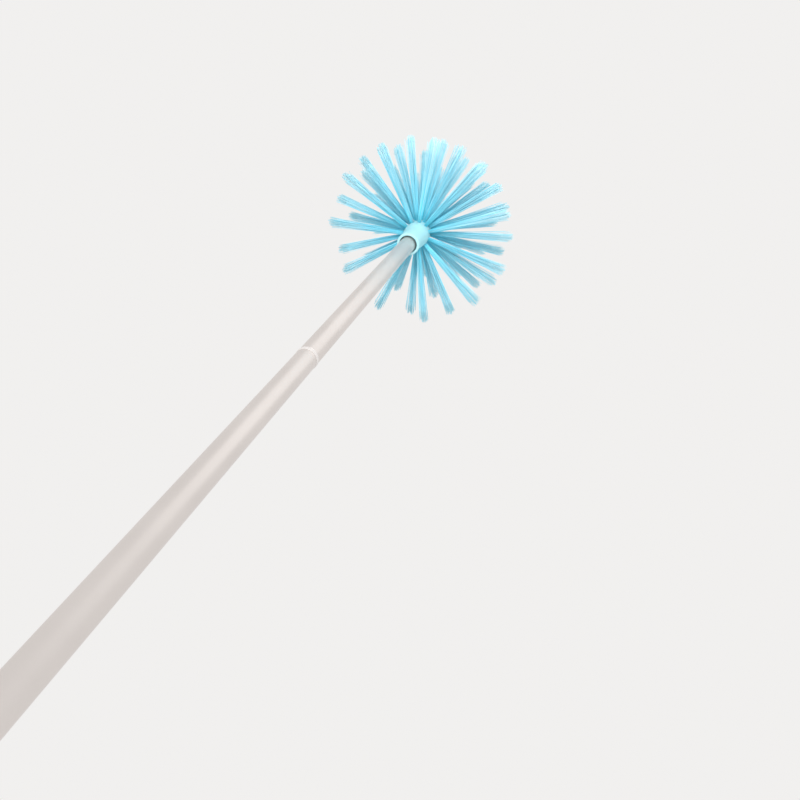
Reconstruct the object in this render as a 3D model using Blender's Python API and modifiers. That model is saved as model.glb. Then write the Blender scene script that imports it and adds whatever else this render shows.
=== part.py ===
"""Round roof cleaning brush on a pole of tubes that screw end to end.

Metres, +Z up along the pole. The origin is the centre of the end cap's flat bottom.
"""
import math

import bmesh
import bpy
from mathutils import Matrix, Vector

MM = 0.001

# Fits
SEAT = 0.3 * MM  # between faces that touch
SLIP = 0.3 * MM  # radial, between a plug and the bore it sits in

# Pole
TUBE_OUTER = 19.0 * MM
TUBE_WALL = 0.8 * MM
TUBE_LENGTH = 340.0 * MM
TUBE_CHAMFER = 0.3 * MM
TUBE_COUNT = 4

# Screwed joints
STUD_DIAMETER = 12.0 * MM
STUD_LENGTH = 22.0 * MM
STUD_CHAMFER = 1.0 * MM
PLUG_SHANK = 24.0 * MM
SOCKET_SHANK = 26.0 * MM
INSERT_CHAMFER = 0.8 * MM
RING_WIDTH = 4.0 * MM
RING_PROUD = 0.4 * MM
RING_EDGE = 0.5 * MM
FLANGE_THICKNESS = 1.6 * MM
WASHER_OUTER = 18.0 * MM
WASHER_THICKNESS = 1.5 * MM
WASHER_CHAMFER = 0.15 * MM

# End cap and grip
CAP_DIAMETER = 26.0 * MM
CAP_BOTTOM = 15.0 * MM
CAP_HEIGHT = 30.0 * MM
CAP_COLLAR = 5.0 * MM
CAP_SPIGOT = 18.0 * MM
CAP_STEPS = 5
TAB_THICKNESS = 10.0 * MM
TAB_HEIGHT = 19.0 * MM
EYE_DIAMETER = 9.0 * MM
EYE_HEIGHT = 10.0 * MM
GRIP_LENGTH = 125.0 * MM
GRIP_DIAMETER = 26.0 * MM
GRIP_RIBS = 10
RIB_DEPTH = 1.2 * MM
RIB_GROOVE = 2.4 * MM
GRIP_END = 8.0 * MM

# Socket of the brush head
MOUTH_OUTER = 28.0 * MM
MOUTH_INNER = 22.0 * MM
MOUTH_DEPTH = 12.0 * MM
MOUTH_LIP = 1.0 * MM
SEAT_INNER = 20.5 * MM
BORE_MARGIN = 3.0 * MM
SOCKET_ROOF = 2.3 * MM
NECK_FLARE = 0.55  # share of the neck's height that widens to the core
NECK_STEPS = 6

# Core and tufts
CORE_RADIUS = 16.0 * MM
CORE_STEPS = 3
SLICE_HEIGHT = 9.0 * MM
RING_TUFTS = (11, 11, 11, 11, 8)
CROWN_TUFTS = 4
CROWN_RADIUS = 3.6 * MM
CROWN_DEPTH = 0.45  # below the top, in slices
RING_LEANS = (2.0, 6.0, 24.0, 42.0, 60.0)  # degrees up from level
CROWN_LEAN = 82.0
TUFT_LENGTH = 102.0 * MM
TUFT_ROOT = 1.5 * MM
TUFT_TIP = 5.4 * MM
TUFT_SINK = 2.5 * MM
STRANDS = 7
STRAND_SIDES = 3
STRAND_ROOT = 0.55 * MM
STRAND_TIP = 0.38 * MM

# Facets
SIDES = 32
INSERT_SIDES = 24
CORE_SIDES = 36
WELD = 0.01 * MM

TUBE_INNER = TUBE_OUTER - 2 * TUBE_WALL
SHANK_DIAMETER = TUBE_INNER - 2 * SLIP
THREAD_BORE = STUD_DIAMETER + 2 * SLIP
SECTION_PITCH = TUBE_LENGTH + RING_WIDTH + 2 * SEAT
POLE_BOTTOM = CAP_HEIGHT + SEAT

SKY_PLASTIC = (0.33, 0.72, 0.86)
SKY_BRISTLE = (0.20, 0.58, 0.82)
SATIN_METAL = (0.72, 0.70, 0.68)
PALE_RING = (0.86, 0.84, 0.80)
GREY_INSERT = (0.55, 0.56, 0.58)
RUBBER = (0.05, 0.05, 0.06)


def material(name, colour, roughness, metallic):
    made = bpy.data.materials.get(name) or bpy.data.materials.new(name)
    made.use_nodes = True
    shader = made.node_tree.nodes["Principled BSDF"]
    shader.inputs["Base Color"].default_value = (*colour, 1.0)
    shader.inputs["Roughness"].default_value = roughness
    shader.inputs["Metallic"].default_value = metallic
    return made


def collection(name):
    made = bpy.data.collections.new(name)
    bpy.context.scene.collection.children.link(made)
    return made


def new_object(name, mesh, place, group, look=None):
    made = bpy.data.objects.new(name, mesh)
    made.location = place
    group.objects.link(made)
    if look:
        mesh.materials.append(look)
    return made


def turned(name, outline, sides, place, group, look=None):
    """A profile of (radius, height) points, outer side top to bottom, turned about Z."""
    bm = bmesh.new()
    corners = [bm.verts.new((radius, 0.0, height)) for radius, height in outline]
    closed = outline[0][0] > 0 and outline[-1][0] > 0
    for first, second in zip(corners, corners[1:]):
        bm.edges.new((first, second))
    if closed:
        bm.edges.new((corners[-1], corners[0]))
    mesh = bpy.data.meshes.new(name)
    bm.to_mesh(mesh)
    bm.free()
    made = new_object(name, mesh, place, group, look)
    screw = made.modifiers.new("turn", "SCREW")
    screw.axis = "Z"
    screw.steps = sides
    screw.render_steps = sides
    screw.use_merge_vertices = True
    screw.merge_threshold = WELD
    return made


def cut(target, cutter):
    cutter.hide_render = True
    cutter.display_type = "WIRE"
    boolean = target.modifiers.new("cut", "BOOLEAN")
    boolean.operation = "DIFFERENCE"
    boolean.solver = "EXACT"
    boolean.object = cutter


def join_with(target, other):
    other.hide_render = True
    other.display_type = "WIRE"
    boolean = target.modifiers.new("join", "BOOLEAN")
    boolean.operation = "UNION"
    boolean.solver = "EXACT"
    boolean.object = other


def sleeve_outline(outer, inner, bottom, top, chamfer):
    """The closed outline of a sleeve with chamfered outer edges."""
    return [
        (outer - chamfer, top),
        (outer, top - chamfer),
        (outer, bottom + chamfer),
        (outer - chamfer, bottom),
        (inner, bottom),
        (inner, top),
    ]


def tube_bottom(number):
    """Height of tube `number`'s lower end; tube 1 is the one under the head."""
    return POLE_BOTTOM + (TUBE_COUNT - number) * SECTION_PITCH


def build_tube(number, group, look):
    turned(
        f"tube_{number}",
        sleeve_outline(TUBE_OUTER / 2, TUBE_INNER / 2, 0.0, TUBE_LENGTH, TUBE_CHAMFER),
        SIDES,
        (0, 0, tube_bottom(number)),
        group,
        look,
    )


def build_joint(number, group, looks):
    """The plug under tube `number`, its ring, and the socket in the tube below."""
    upper_end = tube_bottom(number)
    lower_end = upper_end - RING_WIDTH - 2 * SEAT
    shank = SHANK_DIAMETER / 2
    stud = STUD_DIAMETER / 2
    turned(
        f"thread_plug_{number}",
        [
            (0.0, PLUG_SHANK),
            (shank - INSERT_CHAMFER, PLUG_SHANK),
            (shank, PLUG_SHANK - INSERT_CHAMFER),
            (shank, 0.0),
            (stud, 0.0),
            (stud, -STUD_LENGTH + STUD_CHAMFER),
            (stud - STUD_CHAMFER, -STUD_LENGTH),
            (0.0, -STUD_LENGTH),
        ],
        INSERT_SIDES,
        (0, 0, upper_end),
        group,
        looks["insert"],
    )
    turned(
        f"joint_ring_{number}",
        sleeve_outline(
            TUBE_OUTER / 2 + RING_PROUD, THREAD_BORE / 2, 0.0, RING_WIDTH, RING_EDGE
        ),
        SIDES,
        (0, 0, lower_end + SEAT),
        group,
        looks["ring"],
    )
    turned(
        f"thread_socket_{number}",
        sleeve_outline(shank, THREAD_BORE / 2, -SOCKET_SHANK, 0.0, INSERT_CHAMFER),
        INSERT_SIDES,
        (0, 0, lower_end),
        group,
        looks["insert"],
    )


def build_head_seat(group, looks):
    """The flanged plug in tube 1 and the washer on it."""
    tube_top = tube_bottom(1) + TUBE_LENGTH
    flange_low = SEAT
    flange_top = flange_low + FLANGE_THICKNESS
    shank = SHANK_DIAMETER / 2
    stud = STUD_DIAMETER / 2
    stud_top = flange_top + STUD_LENGTH
    turned(
        "head_plug",
        [
            (0.0, stud_top),
            (stud - STUD_CHAMFER, stud_top),
            (stud, stud_top - STUD_CHAMFER),
            (stud, flange_top),
            (TUBE_OUTER / 2, flange_top),
            (TUBE_OUTER / 2, flange_low),
            (shank, flange_low),
            (shank, -PLUG_SHANK + INSERT_CHAMFER),
            (shank - INSERT_CHAMFER, -PLUG_SHANK),
            (0.0, -PLUG_SHANK),
        ],
        INSERT_SIDES,
        (0, 0, tube_top),
        group,
        looks["insert"],
    )
    turned(
        "head_washer",
        sleeve_outline(
            WASHER_OUTER / 2, THREAD_BORE / 2, 0.0, WASHER_THICKNESS, WASHER_CHAMFER
        ),
        INSERT_SIDES,
        (0, 0, tube_top + flange_top + SEAT),
        group,
        looks["rubber"],
    )
    return tube_top + flange_top + 2 * SEAT + WASHER_THICKNESS


def build_grip(group, look):
    """A ribbed sleeve on the lowest tube, standing on the end cap's collar."""
    outer = GRIP_DIAMETER / 2
    outline = [(outer - RIB_DEPTH, GRIP_LENGTH), (outer, GRIP_LENGTH - RIB_DEPTH)]
    spacing = (GRIP_LENGTH - 2 * GRIP_END) / GRIP_RIBS
    for rib in range(GRIP_RIBS):
        middle = GRIP_LENGTH - GRIP_END - (rib + 0.5) * spacing
        outline += [
            (outer, middle + RIB_GROOVE / 2),
            (outer - RIB_DEPTH, middle),
            (outer, middle - RIB_GROOVE / 2),
        ]
    bore = TUBE_OUTER / 2 + SLIP
    outline += [
        (outer, RIB_DEPTH),
        (outer - RIB_DEPTH, 0.0),
        (bore, 0.0),
        (bore, GRIP_LENGTH),
    ]
    turned("grip", outline, SIDES, (0, 0, POLE_BOTTOM), group, look)


def build_end_cap(group, cutters, look):
    wide = CAP_DIAMETER / 2
    low = CAP_BOTTOM / 2
    spigot = SHANK_DIAMETER / 2
    top = CAP_HEIGHT + CAP_SPIGOT
    drop = CAP_HEIGHT - CAP_COLLAR
    flank = []
    for step in range(1, CAP_STEPS + 1):
        turn = math.radians(90) * step / CAP_STEPS
        flank.append((low + (wide - low) * math.cos(turn), drop * (1 - math.sin(turn))))
    cap = turned(
        "end_cap",
        [
            (0.0, top),
            (spigot - INSERT_CHAMFER, top),
            (spigot, top - INSERT_CHAMFER),
            (spigot, CAP_HEIGHT),
            (wide, CAP_HEIGHT),
            (wide, drop),
            *flank,
            (0.0, 0.0),
        ],
        SIDES,
        (0, 0, 0),
        group,
        look,
    )
    room = CAP_DIAMETER
    slabs = bmesh.new()
    for side in (-1, 1):
        middle = (0, side * (TAB_THICKNESS + room) / 2, (TAB_HEIGHT - room) / 2)
        size = Matrix.Diagonal((2 * room, room, TAB_HEIGHT + room, 1.0))
        bmesh.ops.create_cube(slabs, size=1.0, matrix=Matrix.Translation(middle) @ size)
    slab_mesh = bpy.data.meshes.new("tab_slabs")
    slabs.to_mesh(slab_mesh)
    slabs.free()
    cut(cap, new_object("tab_slabs", slab_mesh, (0, 0, 0), cutters))

    rod = bmesh.new()
    bmesh.ops.create_cone(
        rod,
        cap_ends=True,
        segments=INSERT_SIDES,
        radius1=EYE_DIAMETER / 2,
        radius2=EYE_DIAMETER / 2,
        depth=2 * room,
        matrix=Matrix.Translation((0, 0, EYE_HEIGHT))
        @ Matrix.Rotation(math.radians(90), 4, "X"),
    )
    rod_mesh = bpy.data.meshes.new("eye_rod")
    rod.to_mesh(rod_mesh)
    rod.free()
    cut(cap, new_object("eye_rod", rod_mesh, (0, 0, 0), cutters))


def build_head_socket(seat, group, look):
    """Mouth, neck and shoulder; `seat` is the height of the face on the washer."""
    mouth = seat - MOUTH_DEPTH - FLANGE_THICKNESS - WASHER_THICKNESS - 2 * SEAT
    bore_top = seat + STUD_LENGTH + BORE_MARGIN
    core_low = bore_top + SOCKET_ROOF
    wide = MOUTH_OUTER / 2
    neck = []
    for step in range(NECK_STEPS + 1):
        along = step / NECK_STEPS
        swell = (1 - math.cos(math.pi * along)) / 2
        height = core_low - NECK_FLARE * along * (core_low - mouth - MOUTH_LIP)
        neck.append((CORE_RADIUS + (wide - CORE_RADIUS) * swell, height))
    outline = [
        (0.0, core_low),
        *neck,
        (wide, mouth + MOUTH_LIP),
        (wide - MOUTH_LIP, mouth),
        (MOUTH_INNER / 2, mouth),
        (SEAT_INNER / 2, seat),
        (THREAD_BORE / 2, seat),
        (THREAD_BORE / 2, bore_top),
        (0.0, bore_top),
    ]
    turned("head_socket", outline, CORE_SIDES, (0, 0, 0), group, look)
    return core_low


def core_radius(share):
    """Radius of the core at a share of its height, a quarter ellipse."""
    return CORE_RADIUS * math.sqrt(max(0.0, 1 - share**2))


def strand_offsets():
    """Places of the strands across a tuft: one in the middle and a circle round it."""
    around = STRANDS - 1
    yield 0.0, 0.0
    for place in range(around):
        turn = math.tau * place / around
        yield math.cos(turn), math.sin(turn)


def add_strand(bm, root, tip):
    along = tip - root
    bmesh.ops.create_cone(
        bm,
        cap_ends=True,
        segments=STRAND_SIDES,
        radius1=STRAND_ROOT,
        radius2=STRAND_TIP,
        depth=along.length,
        matrix=Matrix.Translation((root + tip) / 2)
        @ along.to_track_quat("Z", "Y").to_matrix().to_4x4(),
    )


def add_tuft(bm, radius, height, turn, lean):
    out = Vector((math.cos(turn), math.sin(turn), 0.0))
    side = Vector((-math.sin(turn), math.cos(turn), 0.0))
    along = out * math.cos(lean) + Vector((0, 0, 1)) * math.sin(lean)
    across = side.cross(along)
    base = out * radius + Vector((0, 0, height)) - along * TUFT_SINK
    end = base + along * (TUFT_SINK + TUFT_LENGTH)
    for x, y in strand_offsets():
        add_strand(
            bm,
            base + (side * x + across * y) * TUFT_ROOT,
            end + (side * x + across * y) * TUFT_TIP,
        )


def build_slice(name, bottom, low, high, tufts, group, cutters, looks):
    """A slice of the core between two shares of its height, with its tufts."""
    core_height = SLICE_HEIGHT * (len(RING_TUFTS) + 1)
    outline = []
    for step in range(CORE_STEPS + 1):
        share = high + (low - high) * step / CORE_STEPS
        gap = SEAT if step == CORE_STEPS else 0.0
        outline.append((core_radius(share), share * core_height + gap))
    if outline[0][0] > 0:
        outline.insert(0, (0.0, outline[0][1]))
    outline.append((0.0, outline[-1][1]))
    piece = turned(name, outline, CORE_SIDES, (0, 0, bottom), group, looks["bristle"])
    bm = bmesh.new()
    for radius, height, turn, lean in tufts:
        add_tuft(bm, radius, height, turn, lean)
    mesh = bpy.data.meshes.new(f"{name}_strands")
    bm.to_mesh(mesh)
    bm.free()
    mesh.materials.append(looks["bristle"])
    join_with(piece, new_object(f"{name}_strands", mesh, (0, 0, bottom), cutters))


def build_core(bottom, group, cutters, looks):
    slices = len(RING_TUFTS) + 1
    core_height = SLICE_HEIGHT * slices
    for ring, count in enumerate(RING_TUFTS):
        middle = (ring + 0.5) / slices
        lean = math.radians(RING_LEANS[ring])
        stagger = (ring % 2) * math.pi / count
        tufts = [
            (core_radius(middle), middle * core_height, stagger + math.tau * k / count, lean)
            for k in range(count)
        ]
        build_slice(
            f"tuft_ring_{ring + 1}",
            bottom,
            ring / slices,
            (ring + 1) / slices,
            tufts,
            group,
            cutters,
            looks,
        )
    middle = (slices - CROWN_DEPTH) / slices
    crown = [
        (CROWN_RADIUS, middle * core_height, math.tau * k / CROWN_TUFTS, math.radians(CROWN_LEAN))
        for k in range(CROWN_TUFTS)
    ]
    build_slice(
        "tuft_crown", bottom, (slices - 1) / slices, 1.0, crown, group, cutters, looks
    )


def main():
    for old in list(bpy.data.objects):
        bpy.data.objects.remove(old, do_unlink=True)
    group = collection("roof_cleaning_brush")
    cutters = collection("cutters")
    looks = {
        "plastic": material("sky_plastic", SKY_PLASTIC, 0.35, 0.0),
        "bristle": material("sky_bristle", SKY_BRISTLE, 0.55, 0.0),
        "metal": material("satin_metal", SATIN_METAL, 0.35, 1.0),
        "ring": material("pale_ring", PALE_RING, 0.4, 0.0),
        "insert": material("grey_insert", GREY_INSERT, 0.5, 0.0),
        "rubber": material("black_rubber", RUBBER, 0.7, 0.0),
    }
    build_end_cap(group, cutters, looks["plastic"])
    build_grip(group, looks["plastic"])
    for number in range(1, TUBE_COUNT + 1):
        build_tube(number, group, looks["metal"])
    for number in range(1, TUBE_COUNT):
        build_joint(number, group, looks)
    seat = build_head_seat(group, looks)
    core_low = build_head_socket(seat, group, looks["plastic"])
    build_core(core_low, group, cutters, looks)


main()
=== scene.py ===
import math
import random

import bmesh
import bpy
from mathutils import Matrix, Vector


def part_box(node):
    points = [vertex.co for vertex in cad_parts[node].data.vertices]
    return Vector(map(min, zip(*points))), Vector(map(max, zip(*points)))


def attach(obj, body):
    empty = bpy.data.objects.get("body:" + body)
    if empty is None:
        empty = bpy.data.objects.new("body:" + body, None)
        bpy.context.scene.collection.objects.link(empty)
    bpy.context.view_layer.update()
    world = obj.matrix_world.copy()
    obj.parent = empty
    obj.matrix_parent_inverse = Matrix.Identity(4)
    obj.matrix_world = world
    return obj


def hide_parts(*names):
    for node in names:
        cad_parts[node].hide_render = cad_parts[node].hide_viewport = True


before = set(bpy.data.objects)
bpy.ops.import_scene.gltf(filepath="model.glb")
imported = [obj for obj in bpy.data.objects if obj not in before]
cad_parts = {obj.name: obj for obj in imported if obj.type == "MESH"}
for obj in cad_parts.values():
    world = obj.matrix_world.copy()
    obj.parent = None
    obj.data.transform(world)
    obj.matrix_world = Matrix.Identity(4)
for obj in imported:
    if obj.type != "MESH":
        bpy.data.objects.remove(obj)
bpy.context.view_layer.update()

# Lengths are metres. Angles are degrees, unless a comment says radians.
MM = 0.001
SEAT = 0.3 * MM  # gap left between seated faces

# Camera, from the photograph's 800 px frame. The picture proper is smaller than the
# frame and is centred at PICTURE_CENTRE. The focal length is assumed.
PHOTO_SIDE = 800.0
PICTURE_CENTRE = (385.5, 345.5)
FOCAL_PIXELS = 700.0
SENSOR_WIDTH = 36.0
MOUTH_PIXEL = (407.8, 244.5)
VANISHING_PIXEL = (606.0, 21.0)
MOUTH_DEPTH = 854.0 * MM  # from the camera to the socket's mouth, along the view
POLE_ROLL = 15.0
CLIP_START = 10.0 * MM

# Room. A lamp's place is how far it stands from its start point: out towards the
# camera's side, aside, and up. Powers are watts.
ROOM_SEEN = (0.88, 0.87, 0.86)
ROOM_LIGHT = (0.96, 0.97, 0.99)
FLOOR_COLOUR = (0.90, 0.89, 0.88, 1.0)
FLOOR_HALF = 60.0
KEY_PLACE = (0.8, 0.25, 0.5)
KEY_SIZE = (0.6, 0.6)
KEY_POWER = 0.95
KEY_SPREAD = 40.0
BACK_PLACE = (-0.9, 0.0, 1.0)
BACK_SIZE = (0.8, 0.8)
BACK_POWER = 0.8
BACK_SPREAD = 50.0
OVERHEAD_PLACE = (1.3, 0.0, 1.6)
OVERHEAD_SIZE = (2.2, 1.8)
OVERHEAD_POWER = 5.3
OVERHEAD_SPREAD = 180.0

# Pole
TUBE_RADIUS = 9.5 * MM
TUBE_BORE = 8.7 * MM
TUBE_EDGE = 0.35 * MM
TUBE_COUNT = 4

# Screwed joints
STUD_RADIUS = 6.0 * MM
STUD_EDGE = 0.6 * MM
STUD_FILLET = 0.3 * MM
THREAD_DEPTH = 0.7 * MM
THREAD_SUNK = 0.1 * MM  # how far the ridge's foot sits inside the stud
THREAD_PITCH = 5.0 * MM
THREAD_LAND = 1.1 * MM
BORE_RADIUS = 6.3 * MM
BORE_EDGE = 0.3 * MM
SHANK_RADIUS = 8.4 * MM
INSERT_EDGE = 0.8 * MM
SHOULDER_EDGE = 0.2 * MM
FLANGE_EDGE = 0.4 * MM
FLANGE_FILLET = 0.1 * MM
RING_RADIUS = 9.9 * MM
RING_EDGE = 0.7 * MM
WASHER_RADIUS = 9.0 * MM
WASHER_EDGE = 0.3 * MM

# Brush head
MOUTH_RADIUS = 14.0 * MM
MOUTH_BORE = 11.0 * MM
SEAT_RADIUS = 10.25 * MM
SEAT_FILLET = 0.6 * MM
LIP_EDGE = 1.0 * MM
SOCKET_ROOF = 2.3 * MM
NECK_FLARE = 0.55  # share of the neck's height over which it widens to the core
CORE_RADIUS = 16.0 * MM
SLICE_HEIGHT = 9.0 * MM
RING_TUFTS = (11, 11, 11, 11, 8)
RING_LEANS = (2.0, 6.0, 24.0, 42.0, 60.0)  # up from level
CROWN_TUFTS = 4
CROWN_RADIUS = 3.6 * MM
CROWN_DEPTH = 0.45  # below the core's top, in slices
CROWN_LEAN = 82.0

# Tufts
TUFT_LENGTH = 102.0 * MM
TUFT_ROOT = 2.0 * MM
TUFT_TIP = 5.8 * MM
TUFT_FLARE = 0.8  # power of the widening; 1 would be a straight cone
TUFT_SINK = 2.5 * MM
TUFT_KINDS = 6
TUFT_SEED = 100
HEAD_SEED = 7
SWAY = 0.05  # added to a tuft's direction, either way on each axis

# Filaments
FILAMENTS = 60
FILAMENT_SIDES = 3
FILAMENT_CUTS = 5
FILAMENT_ROOT = 0.33 * MM
FILAMENT_TIP = 0.30 * MM
GOLDEN_ANGLE = 137.508
SCATTER = 0.15  # radians either way, round the tuft
RAGGED = 6.0 * MM  # how much the filaments differ in length
DOMED = 7.0 * MM  # how much the outermost are shorter than the middle ones
PAST_LENGTH = 0.3  # share of both that stands past the tuft's length
CURL = 3.4 * MM

# Grip and end cap
GRIP_RADIUS = 13.0 * MM
GRIP_BORE = 9.8 * MM
GRIP_BORE_EDGE = 0.3 * MM
GRIP_RIBS = 10
GRIP_END = 8.0 * MM
RIB_DEPTH = 1.2 * MM
RIB_GROOVE = 2.4 * MM
RIB_EDGE = 0.5 * MM
GROOVE_FILLET = 0.7 * MM
TOP_ROUND = 1.8 * MM
CAP_BOTTOM_RADIUS = 7.5 * MM
CAP_HEIGHT = 30.0 * MM
CAP_COLLAR = 5.0 * MM
COLLAR_EDGE = 0.8 * MM
COLLAR_FILLET = 0.3 * MM
CAP_EDGE = 0.35 * MM
CAP_EDGE_ANGLE = 50.0
TAB_THICKNESS = 10.0 * MM
TAB_HEIGHT = 19.0 * MM
EYE_RADIUS = 4.5 * MM
EYE_HEIGHT = 10.0 * MM

# Fineness of the meshes
FINE_SIDES = 96
EYE_SIDES = 64
THREAD_SIDES = 48  # a turn
ARC_STEPS = 5
DOME_STEPS = 24
FLANK_STEPS = 16
SMOOTH_ANGLE = 35.0
WELD = 0.001 * MM


class Value:
    """A node's output, so that shader sums read as sums."""

    def __init__(self, finish, socket):
        self.finish = finish
        self.socket = socket

    def _sum(self, operation, first, second):
        return self.finish.node(
            "ShaderNodeMath", {"operation": operation}, {0: first, 1: second}
        )["Value"]

    def __add__(self, other):
        return self._sum("ADD", self, other)

    __radd__ = __add__

    def __mul__(self, other):
        return self._sum("MULTIPLY", self, other)

    __rmul__ = __mul__

    def __rsub__(self, other):
        return self._sum("SUBTRACT", other, self)


class Finish:
    """A material under a plain name, built node by node."""

    def __init__(self, name):
        self.material = bpy.data.materials.new(name)
        self.material.use_nodes = True
        self.tree = self.material.node_tree
        self.shader = self.tree.nodes["Principled BSDF"]

    def node(self, kind, settings=None, inputs=None):
        made = self.tree.nodes.new(kind)
        for name, value in (settings or {}).items():
            setattr(made, name, value)
        self.feed(made, inputs or {})
        return {out.name: Value(self, out) for out in made.outputs if out.enabled}

    def feed(self, node, inputs):
        for name, value in inputs.items():
            socket = node.inputs[name]
            if isinstance(value, Value):
                self.tree.links.new(value.socket, socket)
            else:
                socket.default_value = value

    def surface(self, **inputs):
        self.feed(self.shader, {name.replace("_", " "): v for name, v in inputs.items()})
        return self.material

    def attribute(self, name):
        return self.node("ShaderNodeAttribute", {"attribute_name": name})["Fac"]

    def noise(self, scale, detail=3.0, stretch=(1.0, 1.0, 1.0)):
        spot = self.node("ShaderNodeTexCoord")["Object"]
        placed = self.node("ShaderNodeMapping", None, {"Vector": spot, "Scale": stretch})
        inputs = {"Vector": placed["Vector"], "Scale": scale, "Detail": detail}
        return self.node("ShaderNodeTexNoise", None, inputs)["Fac"]

    def blend(self, factor, first, second):
        return self.node(
            "ShaderNodeMix",
            {"data_type": "RGBA", "clamp_factor": True},
            {0: factor, 6: (*first, 1.0), 7: (*second, 1.0)},
        )["Result"]

    def bump(self, height, strength, distance):
        inputs = {"Height": height, "Strength": strength, "Distance": distance}
        return self.node("ShaderNodeBump", None, inputs)["Normal"]


def sky_plastic(name, pale, deep):
    """Moulded plastic, clouded between two blues, with a fine grain."""
    finish = Finish(name)
    cloud = finish.noise(scale=60.0)
    grain = finish.noise(scale=2600.0, detail=2.0)
    return finish.surface(
        Base_Color=finish.blend(cloud, deep, pale),
        Roughness=0.30 + 0.10 * cloud,
        Normal=finish.bump(grain, strength=0.12, distance=0.05 * MM),
    )


def filament_finish():
    """Each filament has a tone of its own, at random, and grows paler from root to tip; the
    deeper blue towards the roots is painted shade, where the tufts crowd round the core.
    """
    finish = Finish("sky_filament")
    along = finish.attribute("along")
    shade = finish.attribute("shade")
    # The colour darkens towards the roots as painted shade between the tufts near the core; the
    # tone per filament is its own, at random.
    pale = 0.55 * along + 0.45 * shade
    return finish.surface(
        Base_Color=finish.blend(pale, (0.06, 0.77, 1.0), (0.72, 0.95, 1.0)),
        Roughness=0.55 - 0.12 * shade,
        Specular_IOR_Level=0.3,
        Sheen_Weight=0.35,
        Sheen_Tint=(0.30, 0.85, 1.0, 1.0),
    )


def tube_finish():
    """Satin metal with lines drawn along the pole and faint smudges."""
    finish = Finish("satin_tube")
    drawn = finish.noise(scale=500.0, detail=2.0, stretch=(1.0, 1.0, 0.02))
    smudge = finish.noise(scale=28.0, detail=4.0)
    return finish.surface(
        Base_Color=finish.blend(smudge, (0.70, 0.655, 0.63), (0.78, 0.735, 0.71)),
        Metallic=1.0,
        Roughness=0.37 + 0.10 * smudge + 0.05 * drawn,
        Normal=finish.bump(drawn, strength=0.10, distance=0.03 * MM),
    )


def ring_finish():
    """Pale satin plastic of the joint rings."""
    finish = Finish("pale_ring")
    cloud = finish.noise(scale=120.0)
    return finish.surface(
        Base_Color=finish.blend(cloud, (0.65, 0.61, 0.585), (0.70, 0.665, 0.64)),
        Roughness=0.28 + 0.08 * cloud,
        Normal=finish.bump(finish.noise(scale=3000.0), strength=0.08, distance=0.03 * MM),
    )


def insert_finish():
    """Grey moulded plastic of the plugs and threaded sockets."""
    finish = Finish("grey_insert")
    cloud = finish.noise(scale=150.0)
    return finish.surface(
        Base_Color=finish.blend(cloud, (0.46, 0.47, 0.49), (0.58, 0.59, 0.61)),
        Roughness=0.42 + 0.12 * cloud,
        Normal=finish.bump(finish.noise(scale=2400.0), strength=0.12, distance=0.04 * MM),
    )


def rubber_finish():
    """Matt black rubber of the washer under the head."""
    finish = Finish("black_washer")
    cloud = finish.noise(scale=300.0)
    return finish.surface(
        Base_Color=finish.blend(cloud, (0.02, 0.02, 0.022), (0.05, 0.05, 0.052)),
        Roughness=0.65 + 0.15 * cloud,
        Normal=finish.bump(finish.noise(scale=4000.0), strength=0.2, distance=0.03 * MM),
    )


def rounded(outline, closed=False):
    """Corners (radius, height, fillet) to points, with an arc at each filleted corner."""
    points = []
    count = len(outline)
    for place, (radius, height, fillet) in enumerate(outline):
        corner = Vector((radius, height))
        ends = not closed and place in (0, count - 1)
        if fillet <= 0 or ends:
            points.append(corner)
            continue
        before = (Vector(outline[place - 1][:2]) - corner).normalized()
        after = (Vector(outline[(place + 1) % count][:2]) - corner).normalized()
        half = before.angle(after) / 2
        reach = fillet / math.tan(half)
        middle = corner + (before + after).normalized() * (fillet / math.sin(half))
        first = corner + before * reach - middle
        last = corner + after * reach - middle
        sweep = first.angle_signed(last)
        for step in range(ARC_STEPS + 1):
            turn = -sweep * step / ARC_STEPS
            points.append(middle + Matrix.Rotation(turn, 2) @ first)
    return [(point.x, point.y) for point in points]


def turned(outline, closed=False):
    """A bmesh of a (radius, height) outline spun round the pole's axis."""
    bm = bmesh.new()
    corners = [bm.verts.new((radius, 0.0, height)) for radius, height in outline]
    edges = [bm.edges.new(pair) for pair in zip(corners, corners[1:])]
    if closed:
        edges.append(bm.edges.new((corners[-1], corners[0])))
    bmesh.ops.spin(
        bm,
        geom=corners + edges,
        cent=(0, 0, 0),
        axis=(0, 0, 1),
        angle=math.tau,
        steps=FINE_SIDES,
        use_merge=True,
    )
    bmesh.ops.remove_doubles(bm, verts=bm.verts, dist=WELD)
    bmesh.ops.recalc_face_normals(bm, faces=bm.faces)
    return bm


def in_scene(name, data):
    made = bpy.data.objects.new(name, data)
    bpy.context.scene.collection.objects.link(made)
    return made


def mesh_object(name, bm):
    mesh = bpy.data.meshes.new(name)
    bm.to_mesh(mesh)
    bm.free()
    return in_scene(name, mesh)


def smooth(mesh, angle):
    mesh.shade_smooth()
    mesh.set_sharp_from_angle(angle=math.radians(angle))


def mesh_piece(name, bm, look, smooth_angle=SMOOTH_ANGLE):
    piece = mesh_object(name, bm)
    piece.data.materials.append(look)
    smooth(piece.data, smooth_angle)
    return piece


def fit(piece, body, node):
    """The piece stands for a node and moves with its body."""
    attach(piece, body)
    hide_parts(node)


def sleeve(node, outer, inner, edge, look, body):
    """An open tube as high as its node, its bore rounded half as much as its outside."""
    low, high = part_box(node)
    outline = rounded(
        [
            (outer, high.z, edge),
            (outer, low.z, edge),
            (inner, low.z, edge / 2),
            (inner, high.z, edge / 2),
        ],
        closed=True,
    )
    fit(mesh_piece(f"fine_{node}", turned(outline, closed=True), look), body, node)


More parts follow.
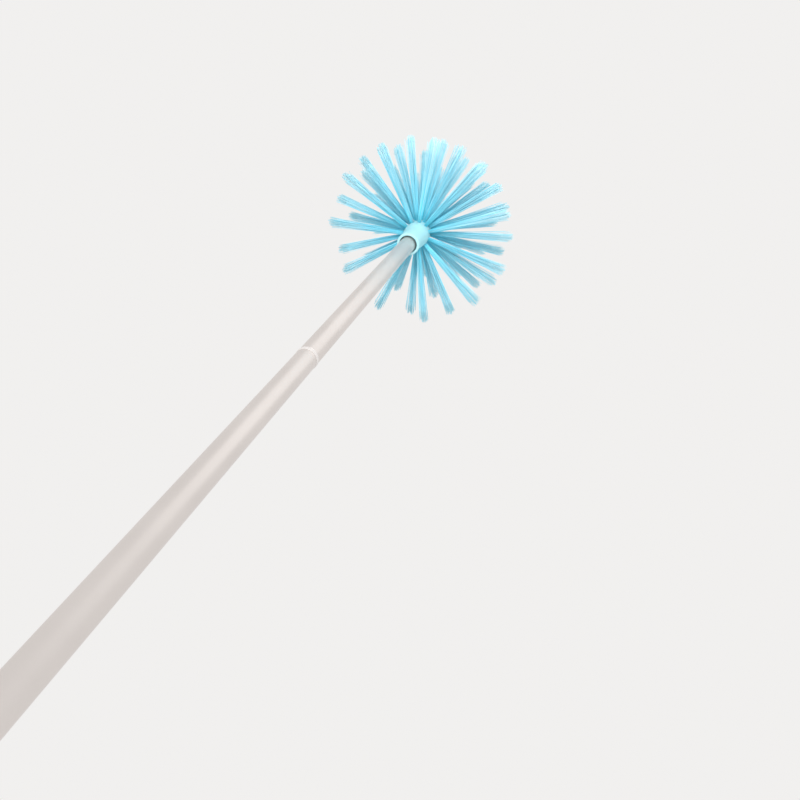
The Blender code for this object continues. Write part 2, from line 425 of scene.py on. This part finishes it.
def add_thread(bm, low, high):
    """A helical ridge round a stud, from low to high."""
    turns = (high - low - THREAD_LAND * 2) / THREAD_PITCH
    steps = int(turns * THREAD_SIDES)
    root = STUD_RADIUS - THREAD_DEPTH - THREAD_SUNK
    crest = STUD_RADIUS
    base = low + THREAD_LAND
    corners = [
        bm.verts.new((root, 0.0, base - THREAD_LAND)),
        bm.verts.new((crest, 0.0, base - THREAD_LAND / 2)),
        bm.verts.new((crest, 0.0, base + THREAD_LAND / 2)),
        bm.verts.new((root, 0.0, base + THREAD_LAND)),
    ]
    profile = bm.faces.new(corners)
    bmesh.ops.spin(
        bm,
        geom=[profile],
        cent=(0, 0, 0),
        axis=(0, 0, 1),
        dvec=(0, 0, THREAD_PITCH * turns / steps),
        angle=math.tau * turns,
        steps=steps,
    )
    bmesh.ops.recalc_face_normals(bm, faces=bm.faces)


def thread_plug(number, look):
    """The insert in a section's bottom end, with its stud pointing down."""
    node = f"thread_plug_{number}"
    low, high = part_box(node)
    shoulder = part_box(f"tube_{number}")[0].z
    stud = STUD_RADIUS - THREAD_DEPTH
    outline = rounded(
        [
            (0.0, high.z, 0),
            (SHANK_RADIUS, high.z, INSERT_EDGE),
            (SHANK_RADIUS, shoulder, SHOULDER_EDGE),
            (stud, shoulder, STUD_FILLET),
            (stud, low.z, STUD_EDGE),
            (0.0, low.z, 0),
        ]
    )
    bm = turned(outline)
    add_thread(bm, low.z, shoulder)
    fit(mesh_piece(f"fine_{node}", bm, look), f"section_{number}", node)


def head_plug(look):
    """The insert in the top section, with a flange and a stud pointing up."""
    low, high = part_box("head_plug")
    flange_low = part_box("tube_1")[1].z + SEAT
    flange_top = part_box("head_washer")[0].z - SEAT
    stud = STUD_RADIUS - THREAD_DEPTH
    outline = rounded(
        [
            (0.0, high.z, 0),
            (stud, high.z, STUD_EDGE),
            (stud, flange_top, STUD_FILLET),
            (TUBE_RADIUS, flange_top, FLANGE_EDGE),
            (TUBE_RADIUS, flange_low, SHOULDER_EDGE),
            (SHANK_RADIUS, flange_low, FLANGE_FILLET),
            (SHANK_RADIUS, low.z, INSERT_EDGE),
            (0.0, low.z, 0),
        ]
    )
    bm = turned(outline)
    add_thread(bm, flange_top, high.z)
    fit(mesh_piece("fine_head_plug", bm, look), "section_1", "head_plug")


def core_radius(share):
    """The domed core's radius at a share of its height."""
    return CORE_RADIUS * math.sqrt(1 - share**2)


def core_height():
    """The core's height above the shoulder: a slice for each ring and one for the crown."""
    return SLICE_HEIGHT * (len(RING_TUFTS) + 1)


def head_socket(look):
    """The moulding from the mouth up the neck to the top of the domed core."""
    low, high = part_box("head_socket")
    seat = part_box("head_washer")[1].z + SEAT
    bore_top = high.z - SOCKET_ROOF
    dome = [(0.0, high.z + core_height(), 0)]
    for step in range(1, DOME_STEPS):
        turn = math.radians(90) * (1 - step / DOME_STEPS)
        height = high.z + core_height() * math.sin(turn)
        dome.append((CORE_RADIUS * math.cos(turn), height, 0))
    neck = []
    for step in range(DOME_STEPS + 1):
        along = step / DOME_STEPS
        swell = (1 - math.cos(math.pi * along)) / 2
        height = high.z - NECK_FLARE * along * (high.z - low.z - LIP_EDGE)
        neck.append((CORE_RADIUS + (MOUTH_RADIUS - CORE_RADIUS) * swell, height, 0))
    outline = rounded(
        [
            *dome,
            *neck,
            (MOUTH_RADIUS, low.z, LIP_EDGE),
            (MOUTH_BORE, low.z, LIP_EDGE / 2),
            (SEAT_RADIUS, seat, SEAT_FILLET),
            (BORE_RADIUS, seat, BORE_EDGE),
            (BORE_RADIUS, bore_top, BORE_EDGE),
            (0.0, bore_top, 0),
        ]
    )
    piece = mesh_piece("fine_head_socket", turned(outline), look)
    fit(piece, "head", "head_socket")


def filament(chance, spread, around):
    """One bent, tapered filament of a tuft that runs up +Z from the origin."""
    longest = TUFT_SINK + TUFT_LENGTH + PAST_LENGTH * (RAGGED + DOMED)
    reach = longest - RAGGED * chance.random() ** 2 - DOMED * spread**4
    bm = bmesh.new()
    bmesh.ops.create_cone(
        bm,
        cap_ends=True,
        segments=FILAMENT_SIDES,
        radius1=FILAMENT_ROOT,
        radius2=FILAMENT_TIP,
        depth=reach,
        matrix=Matrix.Translation((0, 0, reach / 2)),
    )
    long_edges = [e for e in bm.edges if abs(e.verts[0].co.z - e.verts[1].co.z) > reach / 2]
    bmesh.ops.subdivide_edges(bm, edges=long_edges, cuts=FILAMENT_CUTS, use_grid_fill=True)
    out = Vector((math.cos(around), math.sin(around), 0.0))
    bend_turn = chance.uniform(0, math.tau)
    bend = Vector((math.cos(bend_turn), math.sin(bend_turn), 0.0)) * chance.uniform(0, CURL)
    shade = chance.random()
    along_layer = bm.verts.layers.float.new("along")
    shade_layer = bm.verts.layers.float.new("shade")
    for vertex in bm.verts:
        along = vertex.co.z / reach
        width = TUFT_ROOT + (TUFT_TIP - TUFT_ROOT) * along**TUFT_FLARE
        vertex.co += out * spread * width + bend * along**2
        vertex[along_layer] = along
        vertex[shade_layer] = shade
    return bm


def tuft_mesh(kind):
    """A flared bunch of filaments; each kind is bunched a little differently."""
    chance = random.Random(TUFT_SEED + kind)
    tuft = bmesh.new()
    for place in range(FILAMENTS):
        spread = math.sqrt((place + 0.5) / FILAMENTS)
        around = place * math.radians(GOLDEN_ANGLE) + chance.uniform(-SCATTER, SCATTER)
        single = filament(chance, spread, around)
        strand = bpy.data.meshes.new("strand")
        single.to_mesh(strand)
        single.free()
        tuft.from_mesh(strand)
        bpy.data.meshes.remove(strand)
    mesh = bpy.data.meshes.new(f"tuft_kind_{kind}")
    tuft.to_mesh(mesh)
    tuft.free()
    return mesh


def tuft_place(radius, height, turn, lean, twist, sway):
    """The matrix that stands a tuft on the core, leaning a little its own way."""
    out = Vector((math.cos(turn), math.sin(turn), 0.0))
    along = (out * math.cos(lean) + Vector((0, 0, 1)) * math.sin(lean) + sway).normalized()
    base = out * radius + Vector((0, 0, height)) - along * TUFT_SINK
    spin = Matrix.Rotation(twist, 4, "Z")
    return Matrix.Translation(base) @ along.to_track_quat("Z", "Y").to_matrix().to_4x4() @ spin


def tuft_ring(node, places, kinds, chance, look):
    """One piece of tufts, each a turned and swayed copy of one of the kinds."""
    bm = bmesh.new()
    for radius, height, turn, lean in places:
        mesh = chance.choice(kinds).copy()
        twist = chance.uniform(0, math.tau)
        sway = Vector([chance.uniform(-SWAY, SWAY) for _ in range(3)])
        mesh.transform(tuft_place(radius, height, turn, lean, twist, sway))
        bm.from_mesh(mesh)
        bpy.data.meshes.remove(mesh)
    piece = mesh_piece(f"filaments_{node}", bm, look, smooth_angle=180.0)
    fit(piece, "head", node)


def all_tufts(look):
    """The rings of tufts up the core, every other one staggered, and the crown."""
    chance = random.Random(HEAD_SEED)
    kinds = [tuft_mesh(kind) for kind in range(TUFT_KINDS)]
    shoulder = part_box("head_socket")[1].z
    slices = len(RING_TUFTS) + 1
    for ring, count in enumerate(RING_TUFTS):
        middle = (ring + 0.5) / slices
        height = shoulder + middle * core_height()
        lean = math.radians(RING_LEANS[ring])
        stagger = (ring % 2) * math.pi / count
        turns = [stagger + math.tau * place / count for place in range(count)]
        places = [(core_radius(middle), height, turn, lean) for turn in turns]
        tuft_ring(f"tuft_ring_{ring + 1}", places, kinds, chance, look)
    height = shoulder + (slices - CROWN_DEPTH) / slices * core_height()
    turns = [math.tau * place / CROWN_TUFTS for place in range(CROWN_TUFTS)]
    places = [(CROWN_RADIUS, height, turn, math.radians(CROWN_LEAN)) for turn in turns]
    tuft_ring("tuft_crown", places, kinds, chance, look)
    for mesh in kinds:
        bpy.data.meshes.remove(mesh)


def grip(look):
    """The ribbed sleeve that the hand holds."""
    low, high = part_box("grip")
    spacing = (high.z - low.z - 2 * GRIP_END) / GRIP_RIBS
    ribs = []
    for rib in range(GRIP_RIBS):
        middle = high.z - GRIP_END - (rib + 0.5) * spacing
        ribs += [
            (GRIP_RADIUS, middle + RIB_GROOVE / 2, RIB_EDGE),
            (GRIP_RADIUS - RIB_DEPTH, middle, GROOVE_FILLET),
            (GRIP_RADIUS, middle - RIB_GROOVE / 2, RIB_EDGE),
        ]
    outline = rounded(
        [
            (GRIP_RADIUS, high.z, TOP_ROUND),
            *ribs,
            (GRIP_RADIUS, low.z, RIB_DEPTH),
            (GRIP_BORE, low.z, GRIP_BORE_EDGE),
            (GRIP_BORE, high.z, GRIP_BORE_EDGE),
        ],
        closed=True,
    )
    piece = mesh_piece("fine_grip", turned(outline, closed=True), look)
    fit(piece, "handle", "grip")


def cap_cutters():
    """Two slabs that leave the flat tab between them, and the rod of the hanging eye."""
    room = 2 * GRIP_RADIUS
    slabs = bmesh.new()
    for side in (-1, 1):
        middle = (0, side * (TAB_THICKNESS + room) / 2, (TAB_HEIGHT - room) / 2)
        size = Matrix.Diagonal((2 * room, room, TAB_HEIGHT + room, 1.0))
        bmesh.ops.create_cube(slabs, size=1.0, matrix=Matrix.Translation(middle) @ size)
    rod = bmesh.new()
    bmesh.ops.create_cone(
        rod,
        cap_ends=True,
        segments=EYE_SIDES,
        radius1=EYE_RADIUS,
        radius2=EYE_RADIUS,
        depth=2 * room,
        matrix=Matrix.Translation((0, 0, EYE_HEIGHT))
        @ Matrix.Rotation(math.radians(90), 4, "X"),
    )
    return [mesh_object("tab_slabs", slabs), mesh_object("eye_rod", rod)]


def end_cap(look):
    """The cap on the pole's foot: a spigot, a collar and a tab with the hanging eye."""
    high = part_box("end_cap")[1]
    collar_low = CAP_HEIGHT - CAP_COLLAR
    flank = []
    for step in range(1, FLANK_STEPS):
        turn = math.radians(90) * step / FLANK_STEPS
        radius = CAP_BOTTOM_RADIUS + (GRIP_RADIUS - CAP_BOTTOM_RADIUS) * math.cos(turn)
        flank.append((radius, collar_low * (1 - math.sin(turn)), 0))
    outline = rounded(
        [
            (0.0, high.z, 0),
            (SHANK_RADIUS, high.z, INSERT_EDGE),
            (SHANK_RADIUS, CAP_HEIGHT, COLLAR_FILLET),
            (GRIP_RADIUS, CAP_HEIGHT, COLLAR_EDGE),
            (GRIP_RADIUS, collar_low, 0),
            *flank,
            (CAP_BOTTOM_RADIUS, 0.0, 0),
            (0.0, 0.0, 0),
        ]
    )
    piece = mesh_piece("fine_end_cap", turned(outline), look)
    cutters = cap_cutters()
    for cutter in cutters:
        boolean = piece.modifiers.new("cut", "BOOLEAN")
        boolean.operation = "DIFFERENCE"
        boolean.solver = "EXACT"
        boolean.object = cutter
    edge = piece.modifiers.new("edge", "BEVEL")
    edge.width = CAP_EDGE
    edge.segments = 2
    edge.limit_method = "ANGLE"
    edge.angle_limit = math.radians(CAP_EDGE_ANGLE)
    graph = bpy.context.evaluated_depsgraph_get()
    shaped = bpy.data.meshes.new_from_object(piece.evaluated_get(graph))
    piece.modifiers.clear()
    piece.data = shaped
    smooth(shaped, SMOOTH_ANGLE)
    for cutter in cutters:
        bpy.data.objects.remove(cutter)
    fit(piece, "handle", "end_cap")


def photo_camera(mouth):
    """The camera at the photograph's place, worked out in its own axes."""
    across, down = PICTURE_CENTRE

    def ray(pixel):
        return Vector((pixel[0] - across, down - pixel[1], -FOCAL_PIXELS)) / FOCAL_PIXELS

    pole = ray(VANISHING_PIXEL).normalized()
    level = pole.rotation_difference(Vector((0, 0, 1))).to_matrix()
    turn = Matrix.Rotation(math.radians(POLE_ROLL), 3, "Z") @ level
    data = bpy.data.cameras.new("photo_camera")
    data.sensor_width = SENSOR_WIDTH
    data.lens = SENSOR_WIDTH * FOCAL_PIXELS / PHOTO_SIDE
    data.shift_x = 0.5 - across / PHOTO_SIDE
    data.shift_y = down / PHOTO_SIDE - 0.5
    data.clip_start = CLIP_START
    camera = in_scene("photo_camera", data)
    place = mouth - turn @ (ray(MOUTH_PIXEL) * MOUTH_DEPTH)
    camera.matrix_world = Matrix.Translation(place) @ turn.to_4x4()
    bpy.context.scene.camera = camera
    return camera


def area_light(name, place, target, size, power, spread, mirrored=True):
    """A soft lamp; size is its width and height, and mirrored says that gloss shows it."""
    data = bpy.data.lights.new(name, "AREA")
    data.shape = "RECTANGLE"
    data.size, data.size_y = size
    data.energy = power
    data.spread = math.radians(spread)
    lamp = in_scene(name, data)
    lamp.location = place
    lamp.rotation_euler = (target - place).to_track_quat("-Z", "Y").to_euler()
    lamp.visible_camera = False
    lamp.visible_glossy = mirrored


def lamps(camera, mouth, head):
    """A low key lamp, one behind and above the head, and a wide one high over the pole."""
    front = Vector((camera.location.x, camera.location.y, 0.0)).normalized()
    side = front.cross(Vector((0, 0, 1)))

    def place(start, offsets):
        out, aside, up = offsets
        return start + front * out + side * aside + Vector((0, 0, up))

    foot = Vector((0, 0, 0))
    area_light("key", place(foot, KEY_PLACE), head, KEY_SIZE, KEY_POWER, KEY_SPREAD)
    area_light(
        "back", place(head, BACK_PLACE), head, BACK_SIZE, BACK_POWER, BACK_SPREAD, mirrored=False
    )
    area_light(
        "overhead",
        place(mouth, OVERHEAD_PLACE),
        mouth,
        OVERHEAD_SIZE,
        OVERHEAD_POWER,
        OVERHEAD_SPREAD,
    )


def pale_world(seen, soft):
    """A pale room: one colour for what is seen and mirrored, one for the soft light."""
    world = bpy.data.worlds.new("pale_room")
    bpy.context.scene.world = world
    world.use_nodes = True
    nodes, links = world.node_tree.nodes, world.node_tree.links
    light = nodes["Background"]
    light.inputs["Color"].default_value = (*soft, 1.0)
    shown = nodes.new("ShaderNodeBackground")
    shown.inputs["Color"].default_value = (*seen, 1.0)
    path = nodes.new("ShaderNodeLightPath")
    direct = path.outputs["Is Camera Ray"]
    for name in ("Is Glossy Ray", "Is Transmission Ray"):
        either = nodes.new("ShaderNodeMath")
        either.operation = "ADD"
        either.use_clamp = True
        links.new(direct, either.inputs[0])
        links.new(path.outputs[name], either.inputs[1])
        direct = either.outputs[0]
    mix = nodes.new("ShaderNodeMixShader")
    links.new(direct, mix.inputs["Fac"])
    links.new(light.outputs[0], mix.inputs[1])
    links.new(shown.outputs[0], mix.inputs[2])
    links.new(mix.outputs[0], nodes["World Output"].inputs["Surface"])


def pale_floor():
    """A wide plain floor under the pole's foot."""
    bm = bmesh.new()
    bmesh.ops.create_grid(bm, x_segments=1, y_segments=1, size=FLOOR_HALF)
    look = Finish("pale_floor").surface(Base_Color=FLOOR_COLOUR, Roughness=0.8)
    mesh_piece("floor", bm, look)


def holder(number):
    """The body that a tube belongs to; the lowest tube is the handle's."""
    return f"section_{number}" if number < TUBE_COUNT else "handle"


def pole():
    """The tubes, and at each joint a loose ring, a threaded socket and a plug."""
    tube = tube_finish()
    ring = ring_finish()
    insert = insert_finish()
    for number in range(1, TUBE_COUNT + 1):
        body = holder(number)
        sleeve(f"tube_{number}", TUBE_RADIUS, TUBE_BORE, TUBE_EDGE, tube, body)
    for number in range(1, TUBE_COUNT):
        node = f"joint_ring_{number}"
        sleeve(node, RING_RADIUS, BORE_RADIUS, RING_EDGE, ring, f"ring_{number}")
        node = f"thread_socket_{number}"
        body = holder(number + 1)
        sleeve(node, SHANK_RADIUS, BORE_RADIUS, INSERT_EDGE, insert, body)
        thread_plug(number, insert)
    rubber = rubber_finish()
    sleeve("head_washer", WASHER_RADIUS, BORE_RADIUS, WASHER_EDGE, rubber, "washer")
    head_plug(insert)


def brush():
    """The whole object, from the pole to the tufts and down to the grip and cap."""
    pole()
    head_socket(sky_plastic("hub_plastic", (0.42, 0.745, 0.78), (0.37, 0.71, 0.77)))
    all_tufts(filament_finish())
    handle = sky_plastic("handle_plastic", (0.28, 0.74, 0.90), (0.23, 0.68, 0.87))
    grip(handle)
    end_cap(handle)


def studio():
    """Camera, room, lamps and floor."""
    low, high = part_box("head_socket")
    mouth = Vector((0, 0, low.z))
    head = Vector((0, 0, high.z + TUFT_LENGTH / 2))
    camera = photo_camera(mouth)
    pale_world(ROOM_SEEN, ROOM_LIGHT)
    lamps(camera, mouth, head)
    pale_floor()


bpy.context.scene.view_settings.view_transform = "Standard"
brush()
studio()
